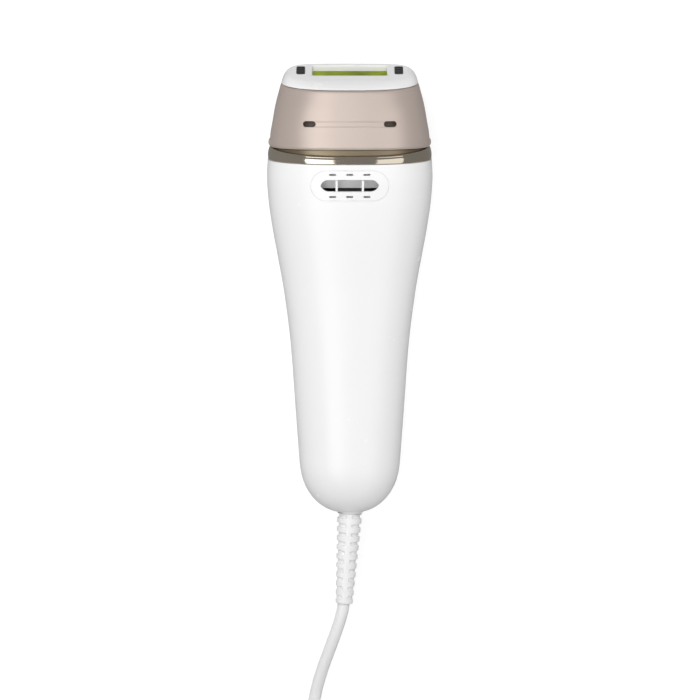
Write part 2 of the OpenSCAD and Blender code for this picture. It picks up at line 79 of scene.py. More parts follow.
BEND_Z = 24  # sections that lean turn about this height
HANDLE_Y = -75  # the rounded end starts here and is END_LENGTH long
END_LENGTH = 22.8
END_POWER = 2.3

# Each station: place along Y, lean in degrees, half width, bottom, top, squareness
HANDLE = [
    (-75, 0, 21.7, 0.4, 36.6, 2.3),
    (-50, 0, 23.5, 2.0, 37.8, 2.3),
    (-25, 0, 25.3, 3.0, 39.6, 2.35),
    (0, 0, 28.4, 3.2, 41.9, 2.4),
    (14, 0, 30.9, 2.4, 43.8, 2.45),
    (28, 0, 33.4, 1.2, 45.8, 2.55),
    (40, 0, 35.0, 0.4, 47.3, 2.65),
    (49, 0, 35.5, 0, 48, 2.7),
    (57.5, 0, 35.05, 0.35, 47.65, 2.7),
]
CAP = [
    (61.65, 0, 33.95, 0.9, 47.1, 2.7),
    (62.7, 0.2, 34.3, 0.6, 47.4, 2.7),
    (67, 1, 34.0, 0.9, 47.1, 2.75),
    (72, 2.2, 33.15, 1.4, 46.6, 2.8),
    (79, 4, 31.9, 2.3, 45.7, 2.8),
    (85, 5.6, 30.35, 3.1, 44.8, 2.6),
    (88.1, 6.4, 29.4, 3.6, 44.3, 2.5),
    (88.7, 6.5, 28.9, 4.1, 43.8, 2.5),
]
FRAME = [
    (89.0, 6.5, 29.2, 3.8, 44.1, 2.5),
    (90.4, 8, 28.75, 5.2, 42.2, 2.7),
    (91.8, 10, 27.9, 7.4, 39.3, 3),
    (92.8, 12, 26.6, 10.0, 35.8, 3.5),
    (93.3, 14, 24.8, 13.0, 31.4, 4.4),
]
COLLAR = [
    (52.4, 0, 32.1, 3.4, 44.6, 2.7),
    (56.1, 0, 32.1, 3.4, 44.6, 2.7),
    (56.2, 0, 33, 2.3, 45.7, 2.7),
    (61.2, 0, 33, 2.3, 45.7, 2.7),
    (61.3, 0, 32, 2.9, 45.1, 2.7),
    (67, 1, 31.9, 3, 45, 2.75),
    (72, 2.2, 31, 3.5, 44.5, 2.8),
    (76, 3.1, 30.3, 4, 44, 2.85),
]


def superellipse(half, height, power, count):
    """Points (across, up) of a section about its middle."""
    points = []
    for i in range(count):
        a = 2 * math.pi * i / count
        c, v = math.cos(a), math.sin(a)
        across = half * math.copysign(abs(c) ** (2 / power), c)
        points.append((across, height * math.copysign(abs(v) ** (2 / power), v)))
    return points


def smooth_curve(xs, ys):
    """A monotone cubic through the points, as a function of an array."""
    xs, ys = np.asarray(xs, float), np.asarray(ys, float)
    h = np.diff(xs)
    slope = np.diff(ys) / h
    m = np.zeros(len(xs))
    for i in range(1, len(xs) - 1):
        if slope[i - 1] * slope[i] > 0:
            w1, w2 = 2 * h[i] + h[i - 1], h[i] + 2 * h[i - 1]
            m[i] = (w1 + w2) / (w1 / slope[i - 1] + w2 / slope[i])
    m[0], m[-1] = slope[0], slope[-1]

    def at(x):
        x = np.asarray(x, float)
        i = np.clip(np.searchsorted(xs, x) - 1, 0, len(h) - 1)
        t = (x - xs[i]) / h[i]
        value = (2 * t**3 - 3 * t**2 + 1) * ys[i] + (t**3 - 2 * t**2 + t) * h[i] * m[i]
        value = value + (3 * t**2 - 2 * t**3) * ys[i + 1] + (t**3 - t**2) * h[i] * m[i + 1]
        value = np.where(x < xs[0], ys[0] + m[0] * (x - xs[0]), value)
        return np.where(x > xs[-1], ys[-1] + m[-1] * (x - xs[-1]), value)

    return at


class Form:
    """A smooth body through stations, with superelliptic sections that lean about BEND_Z."""

    def __init__(self, stations, dome=False):
        columns = list(zip(*stations))
        self.lean, self.half, self.low, self.high, self.power = (
            smooth_curve(columns[0], c) for c in columns[1:]
        )
        self.dome = dome

    def sizes(self, s, off=0):
        """Half width, half height, middle height and squareness at s, off inside the skin."""
        half = self.half(s)
        middle = (self.low(s) + self.high(s)) / 2
        height = (self.high(s) - self.low(s)) / 2
        factor = 1.0
        if self.dome:
            u = np.clip((HANDLE_Y - s) / (END_LENGTH - off), 0, 0.99999)
            factor = (1 - u**END_POWER) ** (1 / END_POWER)
        return (half - off) * factor, (height - off) * factor, middle, self.power(s)

    def ring(self, s, off=0, count=AROUND):
        """Points round the section at s, off inside the skin."""
        half, height, middle, power = (float(v) for v in self.sizes(s, off))
        slope = math.tan(math.radians(float(self.lean(s))))
        points = []
        for x, up in superellipse(half, height, power, count):
            z = middle + up
            points.append((x, s - (z - BEND_Z) * slope, z))
        return points

    def level(self, p):
        """Below 1 inside the body, 1 on its surface; p is an array of points."""
        s = p[:, 1].copy()
        for _ in range(4):
            s = p[:, 1] + (p[:, 2] - BEND_Z) * np.tan(np.radians(self.lean(s)))
        half, height, middle, power = self.sizes(s)
        return (np.abs(p[:, 0]) / half) ** power + (np.abs(p[:, 2] - middle) / height) ** power

    def normals(self, p):
        """Outward unit normals, and each point's distance from the surface."""
        step = 0.02
        gradient = np.stack(
            [(self.level(p + d) - self.level(p - d)) / (2 * step) for d in np.eye(3) * step], axis=1
        )
        size = np.linalg.norm(gradient, axis=1)
        return gradient / size[:, None], np.abs(self.level(p) - 1) / size

    def top(self, x, y):
        """Height of the upper surface over a point."""
        low, high = BEND_Z, 60.0
        for _ in range(40):
            mid = (low + high) / 2
            inside = self.level(np.array([[x, y, mid]]))[0] < 1
            low, high = (mid, high) if inside else (low, mid)
        return low


handle = Form(HANDLE, dome=True)
cap_form = Form(CAP)
frame_form = Form(FRAME)
collar_form = Form(COLLAR)


# ---------------------------------------------------------------- mesh helpers

def new_object(name, points, faces):
    mesh = bpy.data.meshes.new(name)
    mesh.from_pydata([tuple(c * MM for c in p) for p in points], [], faces)
    mesh.validate()
    obj = bpy.data.objects.new(name, mesh)
    bpy.context.scene.collection.objects.link(obj)
    mesh.polygons.foreach_set("use_smooth", [True] * len(mesh.polygons))
    return obj


def ring_faces(rings, count, closed):
    faces = []
    for j in range(rings if closed else rings - 1):
        k = (j + 1) % rings
        for i in range(count):
            n = (i + 1) % count
            faces.append((j * count + i, j * count + n, k * count + n, k * count + i))
    return faces


def solid(name, rings, closed=False):
    """A solid through rings of points: a loop of rings if closed, else capped at both ends."""
    count = len(rings[0])
    faces = ring_faces(len(rings), count, closed)
    if not closed:
        faces.append(tuple(range(count - 1, -1, -1)))
        faces.append(tuple((len(rings) - 1) * count + i for i in range(count)))
    obj = new_object(name, [p for r in rings for p in r], faces)
    recalculate(obj)
    return obj


def recalculate(obj):
    bm = bmesh.new()
    bm.from_mesh(obj.data)
    bmesh.ops.recalc_face_normals(bm, faces=bm.faces)
    bm.to_mesh(obj.data)
    bm.free()


def circle(r, count):
    return [(r * math.cos(2 * math.pi * i / count), r * math.sin(2 * math.pi * i / count))
            for i in range(count)]


def prism(name, outline, low, high, grow=0.0):
    """A straight solid over an XY outline; grow widens its top by that much."""
    cx = sum(p[0] for p in outline) / len(outline)
    cy = sum(p[1] for p in outline) / len(outline)
    upper = []
    for x, y in outline:
        d = math.hypot(x - cx, y - cy) or 1
        upper.append((x + (x - cx) / d * grow, y + (y - cy) / d * grow, high))
    return solid(name, [[(x, y, low) for x, y in outline], upper])


def block(name, low, high):
    """A box between two corners."""
    outline = [(low[0], low[1]), (high[0], low[1]), (high[0], high[1]), (low[0], high[1])]
    return prism(name, outline, low[2], high[2])


def cylinder(name, x, y, r, low, high, steps=40):
    return prism(name, [(x + cx, y + cy) for cx, cy in circle(r, steps)], low, high)


def stadium(length, width, cx=0.0, cy=0.0, steps=24):
    """Outline of a bar with round ends."""
    r, half = width / 2, (length - width) / 2
    points = []
    for side, start in ((1, -90), (-1, 90)):
        for i in range(steps + 1):
            a = math.radians(start + 180 * i / steps)
            points.append((cx + side * half + r * math.cos(a), cy + r * math.sin(a)))
    return points


def rounded_rectangle(length, width, r, cx=0.0, cy=0.0, steps=8):
    points = []
    for sx, sy, start in ((1, -1, -90), (1, 1, 0), (-1, 1, 90), (-1, -1, 180)):
        for i in range(steps + 1):
            a = math.radians(start + 90 * i / steps)
            x = cx + sx * (length / 2 - r) + r * math.cos(a)
            points.append((x, cy + sy * (width / 2 - r) + r * math.sin(a)))
    return points


def combine(obj, other, operation="DIFFERENCE"):
    """Cut, add or intersect with another solid, which is used up."""
    modifier = obj.modifiers.new("shape", "BOOLEAN")
    modifier.operation = operation
    modifier.solver = "MANIFOLD"
    modifier.object = other
    bpy.context.view_layer.update()
    graph = bpy.context.evaluated_depsgraph_get()
    mesh = bpy.data.meshes.new_from_object(obj.evaluated_get(graph))
    obj.modifiers.clear()
    old = obj.data
    obj.data = mesh
    bpy.data.meshes.remove(old)
    bpy.data.objects.remove(other)


def mark_sharp(obj, degrees=32):
    """Smooth faces that break at edges steeper than the angle."""
    bm = bmesh.new()
    bm.from_mesh(obj.data)
    for edge in bm.edges:
        if len(edge.link_faces) == 2:
            edge.smooth = edge.calc_face_angle(0) < math.radians(degrees)
    for face in bm.faces:
        face.smooth = True
    bm.to_mesh(obj.data)
    bm.free()


def shade_by_form(obj, *forms):
    """The outer faces take the exact normals of the smooth form they belong to."""
    mark_sharp(obj)
    mesh = obj.data
    points = np.array([v.co for v in mesh.vertices]) / MM
    loops = np.zeros((len(mesh.loops), 3))
    for form in forms:
        normals, distance = form.normals(points)
        near = distance < 0.05
        for face in mesh.polygons:
            if not all(near[v] for v in face.vertices):
                continue
            facing = sum(normals[v] @ np.array(face.normal) for v in face.vertices)
            if facing > 0.9 * len(face.vertices):
                for loop in face.loop_indices:
                    loops[loop] = normals[mesh.loops[loop].vertex_index]
    mesh.normals_split_custom_set([tuple(n) for n in loops])


def paint(obj, mat):
    obj.data.materials.clear()
    obj.data.materials.append(mat)
    obj.data.polygons.foreach_set("material_index", [0] * len(obj.data.polygons))


def bevel(obj, width, segments=3, degrees=35):
    modifier = obj.modifiers.new("bevel", "BEVEL")
    modifier.width = width * MM
    modifier.segments = segments
    modifier.limit_method = "ANGLE"
    modifier.angle_limit = math.radians(degrees)
    modifier.harden_normals = False


def transform(obj, matrix):
    obj.data.transform(matrix)
    obj.data.update()


# ---------------------------------------------------------------- materials

def material(name, base, rough, metallic=0.0, tint=0.03, tint_scale=30, grain=0.0, grain_scale=900,
             rough_swing=0.06, **sockets):
    """A surface with soft colour drift, uneven gloss and a fine grain."""
    mat = bpy.data.materials.new(name)
    mat.use_nodes = True
    nodes, links = mat.node_tree.nodes, mat.node_tree.links
    shader = nodes["Principled BSDF"]
    shader.inputs["Metallic"].default_value = metallic
    for key, value in sockets.items():
        shader.inputs[key.replace("_", " ")].default_value = value
    where = nodes.new("ShaderNodeTexCoord")

    drift = nodes.new("ShaderNodeTexNoise")
    drift.inputs["Scale"].default_value = tint_scale
    drift.inputs["Detail"].default_value = 3
    links.new(where.outputs["Object"], drift.inputs["Vector"])
    ramp = nodes.new("ShaderNodeValToRGB")
    ramp.color_ramp.elements[0].position = 0.3
    ramp.color_ramp.elements[1].position = 0.7
    ramp.color_ramp.elements[0].color = [min(1, c * (1 - tint)) for c in base[:3]] + [1]
    ramp.color_ramp.elements[1].color = [min(1, c * (1 + tint)) for c in base[:3]] + [1]
    links.new(drift.outputs["Fac"], ramp.inputs["Fac"])
    links.new(ramp.outputs["Color"], shader.inputs["Base Color"])

    gloss = nodes.new("ShaderNodeTexNoise")
    gloss.inputs["Scale"].default_value = tint_scale * 4
    links.new(where.outputs["Object"], gloss.inputs["Vector"])
    span = nodes.new("ShaderNodeMapRange")
    span.inputs["To Min"].default_value = max(0.0, rough * (1 - rough_swing * 2))
    span.inputs["To Max"].default_value = min(1.0, rough * (1 + rough_swing * 2))
    links.new(gloss.outputs["Fac"], span.inputs["Value"])
    links.new(span.outputs["Result"], shader.inputs["Roughness"])

    if grain:
        fine = nodes.new("ShaderNodeTexNoise")
        fine.inputs["Scale"].default_value = grain_scale
        fine.inputs["Detail"].default_value = 4
        links.new(where.outputs["Object"], fine.inputs["Vector"])
        bump = nodes.new("ShaderNodeBump")
        bump.inputs["Strength"].default_value = grain
        bump.inputs["Distance"].default_value = 0.0002
        links.new(fine.outputs["Fac"], bump.inputs["Height"])
        links.new(bump.outputs["Normal"], shader.inputs["Normal"])
    return mat


def make_materials():
    return {
        "shell_white": material("gloss_white", (0.83, 0.83, 0.83), 0.27, tint=0.002, rough_swing=0.015),
        "cap_champagne": material("champagne_lacquer", (0.62, 0.525, 0.47), 0.4, metallic=0.5, tint=0.01,
                                  grain=0.04, grain_scale=4000),
        "ring_metal": material("champagne_chrome", (0.76, 0.68, 0.56), 0.08, metallic=1.0, tint=0.01),
        # The collar is gold; its base colour is darkened further as painted shade from the cap and the ring
        # around it.
        "collar_gold": material("dark_gold", (0.30, 0.245, 0.165), 0.34, metallic=0.8, tint=0.04,
                                grain=0.04, grain_scale=3000),
        "latch_brown": material("dark_brown", (0.055, 0.035, 0.025), 0.4, tint=0.1, grain=0.1),
        "filter_glass": filter_glass_material(),
        "sensor_dark": material("smoked_window", (0.045, 0.045, 0.048), 0.35, tint=0.1, tint_scale=500,
                                Specular_IOR_Level=0.3),
        "quartz": material("quartz", (0.9, 0.93, 0.95), 0.05, tint=0.0, Transmission_Weight=0.9, IOR=1.46),
        "black_plastic": material("black_plastic", (0.03, 0.03, 0.032), 0.5, tint=0.15, grain=0.15),
        "mirror_metal": material("mirror_metal", (0.9, 0.9, 0.9), 0.06, metallic=1.0, tint=0.01),
        "steel": material("plated_steel", (0.6, 0.6, 0.62), 0.3, metallic=1.0, tint=0.04, grain=0.08),
        "silicone": material("silicone", (0.8, 0.8, 0.79), 0.55, tint=0.03, grain=0.1),
        "aluminium": material("aluminium", (0.75, 0.76, 0.78), 0.32, metallic=1.0, tint=0.04, grain=0.1),
        "contact_gold": material("contact_gold", (0.83, 0.62, 0.26), 0.18, metallic=1.0, tint=0.03),
        "board_green": material("board_green", (0.03, 0.17, 0.08), 0.4, tint=0.12, tint_scale=200, grain=0.1),
        "capacitor_sleeve": material("capacitor_sleeve", (0.02, 0.02, 0.03), 0.3, tint=0.1),
        "copper_windings": material("copper_windings", (0.62, 0.30, 0.14), 0.35, metallic=0.9, tint=0.1),
        "light_clear": material("light_clear", (0.85, 0.88, 0.9), 0.15, tint=0.02, Transmission_Weight=0.4),
        "duct_grey": material("duct_grey", (0.78, 0.78, 0.78), 0.5, tint=0.04, grain=0.1),
        "button_white": material("button_white", (0.82, 0.82, 0.82), 0.25, tint=0.01),
        "cord_white": material("cord_white", (0.80, 0.80, 0.80), 0.42, tint=0.015, grain=0.08,
                               grain_scale=1500),
        "tie_black": material("tie_black", (0.03, 0.03, 0.03), 0.85, tint=0.2, grain=0.8, grain_scale=1800),
        "plug_white": material("plug_white", (0.80, 0.80, 0.79), 0.45, tint=0.015, grain=0.15),
        "pin_nickel": material("pin_nickel", (0.72, 0.70, 0.66), 0.2, metallic=1.0, tint=0.03),
    }


def filter_glass_material():
    """Coated yellow-green glass: the coating's colour shifts in broad patches."""
    return material("green_filter", (0.21, 0.27, 0.012), 0.4, tint=0.35, tint_scale=90,
                    Specular_IOR_Level=0.05)


# ---------------------------------------------------------------- lead

CORD_D = 5.2
ROUTE = [
    (1.2, -79, 18), (0, -98, 18), (-0.8, -111, 18), (-1.6, -124, 18), (-2.5, -138, 18),
    (-4, -144.3, 17.3), (-5.75, -149.8, 15.95), (-8.6, -158, 13.05), (-11.4, -166, 9.7),
    (-13.8, -174, 6.5), (-15.7, -183, 3.7), (-16.7, -192, 2.6), (-17, -202, 2.6), (-17, -213, 2.6),
]
TAIL = [(-17, -240, 7.6), (-17, -246, 7.2), (-17, -252, 6.9)]
COIL = (22, -226)
COIL_MIDDLE = 31.2
COLUMNS = 4  # turns side by side in each of the coil's two layers
TURN_POINTS = 40
STEP_START = 0.82  # the share of a turn after which the lead moves over to the next one


def eased(x, low, high):
    """0 up to low, 1 from high on, and a soft step between them."""
    t = max(0.0, min(1.0, (x - low) / (high - low)))
    return t * t * (3 - 2 * t)


def coil_points():
    """Two layers of turns: the lower one winds inwards, the upper one outwards."""
    radii = [COIL_MIDDLE + CORD_D * (COLUMNS / 2 - 0.5 - i) for i in range(COLUMNS)]
    order = [(r, CORD_D / 2) for r in radii] + [(r, CORD_D * 1.5) for r in reversed(radii)]
    points = []
    for turn, (r, z) in enumerate(order):
        following = order[min(turn + 1, len(order) - 1)]
        for i in range(TURN_POINTS):
            ease = eased(i / TURN_POINTS, STEP_START, 1)
            radius = r + (following[0] - r) * ease
            height = z + (following[1] - z) * ease
            a = math.pi + 2 * math.pi * i / TURN_POINTS
            points.append((COIL[0] + radius * math.cos(a), COIL[1] + radius * math.sin(a), height))
    return points


def make_cord(looks):
    """The whole lead as one swept curve: the way out, the coil and the tail to the plug."""
    last = (COIL[0] - COIL_MIDDLE - CORD_D * 1.5, COIL[1], CORD_D * 1.5)
    points = ROUTE + coil_points() + [last] + TAIL
    data = bpy.data.curves.new("lead", "CURVE")
    data.dimensions = "3D"
    data.bevel_depth = CORD_D / 2 * MM
    data.bevel_resolution = 6
    data.resolution_u = 3
    data.use_fill_caps = True
    spline = data.splines.new("NURBS")
    spline.points.add(len(points) - 1)
    for target, p in zip(spline.points, points):
        target.co = (p[0] * MM, p[1] * MM, p[2] * MM, 1)
    spline.order_u = 3
    spline.use_endpoint_u = True
    obj = bpy.data.objects.new("lead", data)
    bpy.context.scene.collection.objects.link(obj)
    data.materials.append(looks["cord_white"])
    return obj


EXIT = (0, -98, 18)
EXIT_YAW = -3.6
RELIEF_LENGTH = 39.4
BOOT_ROOT, BOOT_TAPER = 5.4, 1.7
CORE_ROOT, CORE_TAPER = 4.55, 1.2
GROOVES = 10
GROOVE_START = 1.2
GROOVE_PITCH = 3.93


def exit_matrix():
    """Places a solid drawn along +Z so that it runs the lead's way out of the handle."""
    yaw = Matrix.Rotation(math.radians(EXIT_YAW), 4, "Z")
    return Matrix.Translation(Vector(EXIT) * MM) @ yaw @ Matrix.Rotation(math.radians(90), 4, "X")


def boot_radius(angle, s):
    """Tapered boot with grooves round both sides that stop at a spine above and below."""
    skin = BOOT_ROOT - BOOT_TAPER * s / RELIEF_LENGTH
    if s < 0.3:
        skin -= 0.12 * (1 - s / 0.3)
    if not GROOVE_START - 1 < s < GROOVE_START + GROOVE_PITCH * (GROOVES - 1) + 1:
        return skin
    core = CORE_ROOT - CORE_TAPER * s / RELIEF_LENGTH
    spine = abs(math.cos(angle)) * skin
    along = abs((s - GROOVE_START + GROOVE_PITCH / 2) % GROOVE_PITCH - GROOVE_PITCH / 2)
    taper = 0.62 + 0.3 * eased(spine, 1.1, 3.4)
    inside = (1 - eased(along, taper - 0.16, taper + 0.12)) * eased(spine, 1.15, 1.6)
    return skin + (core - skin) * inside


def make_relief(looks):
    """Strain relief boot with its rounded tip and the neck that the shells hold."""
    count = 180
    bore = CORD_D / 2 + 0.02
    flange, neck = 6.8, 4.45
    profile = [(-8.5, bore), (-8.5, flange), (-5.9, flange), (-5.9, neck), (-0.02, neck), (0.02, 5.2)]
    steps = int(RELIEF_LENGTH / 0.14)
    profile += [(0.1 + (RELIEF_LENGTH - 0.5) * i / steps, None) for i in range(steps + 1)]
    tip = RELIEF_LENGTH
    profile += [(tip - 0.2, 3.63), (tip - 0.06, 3.5), (tip, 3.3), (tip, bore)]
    rings = []
    for s, r in profile:
        ring = []
        for i in range(count):
            a = 2 * math.pi * i / count
            radius = r or boot_radius(a, s)
            ring.append((radius * math.cos(a), radius * math.sin(a), s))
        rings.append(ring)
    obj = solid("strain_relief_boot", rings, closed=True)
    transform(obj, exit_matrix())
    mark_sharp(obj, 50)
    paint(obj, looks["cord_white"])
    return obj


def make_plug(looks):
    """Flat two-pin plug with a waisted back and a moulded sleeve."""
    x0, y0 = -17, -258
    thick, wide, long = 13.7, 35.3, 36
    half = wide / 2

    def round_part(name, profile):
        """A round solid along the lead, through (along, radius) pairs."""
        rings = [[(x0 + x, y0 + s, thick / 2 + z) for x, z in circle(r, 48)] for s, r in profile]
        return solid(name, rings)

    outline = [(-5, 0), (-9, -6), (-half, -22), (-half, -long), (half, -long), (half, -22), (9, -6), (5, 0)]
    body = prism("plug_shell", [(x0 + x, y0 + y) for x, y in outline], 0.02, thick)
    combine(body, round_part("sleeve", [(-3, 4.7), (2, 4.6), (6, 4.2), (12, 3.4), (12.4, 3.1)]), "UNION")
    combine(body, round_part("bore", [(5, 2.62), (14, 2.62)]))
    bevel(body, 1.6, 4, 30)
    mark_sharp(body, 60)
    paint(body, looks["plug_white"])
    return body


# ---------------------------------------------------------------- handset

SPLIT_Z = 22
SPLIT_GAP = 0.07  # from the parting plane to each shell
WALL = 2.2
EXIT_BORE = 4.6
VENT_Y = 46.3
VENT_L, VENT_W = 33.2, 12.8
SLOT_L, SLOT_W = 25.6, 4.8
SLIT_X, SLIT_Y = 7.3, 4.75  # pitch of the six slits along the vent, and their distance from its middle
FLASH_Y, MODE_Y, LIGHTS_Y = 5, -20, -33
SCREWS = [(17, -58), (20, -8), (27, 38)]


def body_solid(name, off, end):
    """The handle from its rounded end up to end, off inside its skin."""
    shares = (0.9995, 0.997, 0.99, 0.978, 0.96, 0.94, 0.915, 0.885, 0.85, 0.81, 0.76, 0.7, 0.63,
              0.55, 0.46, 0.36, 0.25, 0.12)
    dome = [HANDLE_Y - (END_LENGTH - off) * u for u in shares]
    along = [HANDLE_Y + (end - HANDLE_Y) * i / 96 for i in range(97)]
    return solid(name, [handle.ring(s, off) for s in dome + along])


def turned(name, profile):
    """A solid of revolution about the lead's way out, through (along, radius) pairs."""
    obj = solid(name, [[(x, y, s) for x, y in circle(r, 64)] for s, r in profile])
    transform(obj, exit_matrix())
    return obj


def past_ring():
    """Everything past the lower edge of the trim ring, which dips on both faces."""
    gap = 0.05
    edge = [(RING_Y - gap - RING_LOW * RING_DIP * ((z - BEND_Z) / BEND_Z) ** 2, z) for z in range(-6, 56)]
    outline = edge + [(70, 55), (70, -6)]
    return solid("past", [[(x, y, z) for y, z in outline] for x in (-60, 60)])


def shell(name, low, high):
    """The hollow handle between two heights, with the boss and the bore for the lead."""
    obj = body_solid(name, 0, 57.5)
    boss = [(-7, 7.9), (-4, 7.0), (-2.5, 6.5), (-1.6, 6.15), (-1.1, 5.85), (-0.75, 5.65), (-0.6, 5.5)]
    combine(obj, turned("boss", boss), "UNION")
    combine(obj, body_solid("hollow", WALL, 60))
    combine(obj, block("half", (-60, -120, low), (60, 80, high)), "INTERSECT")
    combine(obj, turned("exit", [(-14, EXIT_BORE), (12, EXIT_BORE)]))
    combine(obj, past_ring())
    return obj


def make_rear_shell(looks):
    obj = shell("rear_cover", SPLIT_Z + SPLIT_GAP, 60)
    combine(obj, prism("vent_hole", stadium(VENT_L + 0.16, VENT_W + 0.16, 0, VENT_Y), 36, 56))
    shade_by_form(obj, handle)
    paint(obj, looks["shell_white"])
    return obj


def make_front_shell(looks):
    """The button side: holes for the bezel, the small button, five lights and six screws."""
    obj = shell("front_cover", -5, SPLIT_Z - SPLIT_GAP)
    upright = [(-y, x + FLASH_Y) for x, y in stadium(24.3, 17.3)]
    combine(obj, prism("bezel_hole", upright, -2, 9))
    combine(obj, cylinder("mode_hole", 0, MODE_Y, 4.8, -2, 9))
    for i in range(-2, 3):
        combine(obj, cylinder("light_hole", i * 4, LIGHTS_Y, 0.92, -2, 9))
    for x, y in SCREWS:
        for side in (-1, 1):
            combine(obj, cylinder("screw_hole", side * x, y, 2.6, -2, 12))
    shade_by_form(obj, handle)
    paint(obj, looks["shell_white"])
    return obj


def slot_outline():
    """The air slot: a bar with pointed ends, its corners eased."""
    half_l, half_w = SLOT_L / 2, SLOT_W / 2
    corners = [(-half_l, 0), (-half_l + half_w, -half_w), (half_l - half_w, -half_w), (half_l, 0),
               (half_l - half_w, half_w), (-half_l + half_w, half_w)]
    points = []
    for i, corner in enumerate(corners):
        before, after = Vector(corners[i - 1]), Vector(corners[(i + 1) % 6])
        here = Vector(corner)
        a = here + (before - here).normalized() * 1.5
        b = here + (after - here).normalized() * 1.5
        for t in (0, 0.25, 0.5, 0.75, 1):
            p = a * (1 - t) ** 2 + here * 2 * t * (1 - t) + b * t * t
            points.append((p.x, VENT_Y + p.y))
    return points


def make_vent(looks):
    """Insert flush with the shell: chamfered air slot with two ribs, and six small slits."""
    rings = [handle.ring(VENT_Y - 8 + 16 * i / 24, 0.12, 400) for i in range(25)]
    obj = solid("vent_grille", rings)
    inner = [handle.ring(VENT_Y - 9 + 18 * i / 8, WALL) for i in range(9)]
    combine(obj, solid("inner", inner))
    combine(obj, prism("outline", stadium(VENT_L, VENT_W, 0, VENT_Y), 36, 56), "INTERSECT")
    slot = prism("slot", slot_outline(), 36, 56)
    for x in (-5.6, 5.6):
        combine(slot, block("rib", (x - 0.45, VENT_Y - 6, 30), (x + 0.45, VENT_Y + 6, 47.0)))
    combine(obj, slot)
    low = handle.top(0, VENT_Y) - 0.9
    combine(obj, prism("chamfer", slot_outline(), low, low + 1.6, grow=1.3))
    for x in (-SLIT_X, 0, SLIT_X):
        for side in (-1, 1):
            combine(obj, prism("slit", stadium(3, 0.85, x, VENT_Y + side * SLIT_Y, 8), 36, 56))
    shade_by_form(obj, Form([(s, l, h - 0.12, b + 0.12, t - 0.12, n) for s, l, h, b, t, n in HANDLE]))
    paint(obj, looks["shell_white"])
    return obj


# The trim ring: half width, bottom, top, squareness. On both faces its upper edge dips by
# RING_DIP, and its lower edge by RING_LOW of that.
RING = (35, 0.3, 47.7, 2.7)
RING_Y = 56.1
RING_DIP = 3.05
RING_LOW = 0.28


def dipped_ring(y, dip, off):
    """A section of the trim ring, off inside its outline, that dips towards both faces."""
    half, low, high, power = RING
    middle, height = (low + high) / 2, (high - low) / 2 - off
    points = []
    for x, up in superellipse(half - off, height, power, AROUND * 2):
        z = middle + up
        lift = (z - BEND_Z) / BEND_Z
        points.append((x, y - dip * RING_DIP * lift * lift, z))
    return points


def make_trim_ring(looks):
    """Bright ring: a crowned face between a tight lower edge and a rolled upper lip."""
    inside, lip_dip, lip_in = 1.9, 0.9, 0.42
    profile = [(0, RING_LOW, inside), (0, RING_LOW, 0.45), (0.06, RING_LOW, 0.2), (0.25, RING_LOW, 0.05)]
    for i in range(11):
        t = i / 10
        sunk = lip_in * (t * t * t) - 0.1 * math.sin(math.pi * t)
        profile.append((0.4 + 4.2 * t, RING_LOW + (lip_dip - RING_LOW) * t, sunk))
    for i in range(1, 9):
        a = math.radians(90 * i / 8)
        profile.append((4.6 + 0.95 * math.sin(a), lip_dip + 0.1 * math.sin(a), lip_in + (1 - math.cos(a))))
    profile += [(5.5, 1, 1.75), (5.3, 1, inside)]
    rings = [dipped_ring(RING_Y + along, dip, off) for along, dip, off in profile]
    obj = solid("bright_ring", rings, closed=True)
    mark_sharp(obj, 50)
    paint(obj, looks["ring_metal"])
    return obj


def make_collar(looks):
    """The neck that carries the head, with an opening under each latch window."""
    spots = [52.4, 54, 56.1, 56.2, 58, 60, 61.1, 61.2, 61.3, 62, 64, 66, 68, 70, 72, 74, 75.5, 76]
    outer = [collar_form.ring(s) for s in spots]
    hollow = Form([(52.4, 0, 30.3, 5.1, 43, 2.7), (67, 1, 30.1, 4.8, 43.2, 2.75),
                   (76, 3.1, 28.6, 5.9, 42.2, 2.85)])
    inner = [hollow.ring(s) for s in (76, 72, 67, 60, 52.4)]
    obj = solid("gold_collar", outer + inner, closed=True)
    for side in (-1, 1):
        combine(obj, prism("latch", stadium(7.5, 4.6, side * LATCH_X, LATCH_Y), 30, 60))
    mark_sharp(obj, 40)
    paint(obj, looks["collar_gold"])
    return obj


# ---------------------------------------------------------------- treatment head

LATCH_X, LATCH_Y = 17.2, 72.5
GROOVE_HALF = 14.6
CAP_WALL = 1.6
FACE_TILT = 14
RECESS = 2.6
WINDOW = (0, 93.8, 22)
WINDOW_L, WINDOW_W = 32, 13.5
SENSOR_X = 21
SENSOR_L, SENSOR_W = 10.6, 3.6


def window_matrix():
    """Places a solid drawn about the origin, facing +Z, in the window's tilted face."""
    tilt = Matrix.Rotation(math.radians(FACE_TILT - 90), 4, "X")
    return Matrix.Translation(Vector(WINDOW) * MM) @ tilt


def groove(y):
    """Cutter for one shallow line between the latch windows, following the surface."""
    rings = []
    for i in range(41):
        x = -GROOVE_HALF + 2 * GROOVE_HALF * i / 40
        z = cap_form.top(x, y)
        section = [(-0.18, -0.3), (0.18, -0.3), (0.36, 0.6), (-0.36, 0.6)]
        rings.append([(x, y + dy, z + dz) for dy, dz in section])
    return solid("groove", rings)


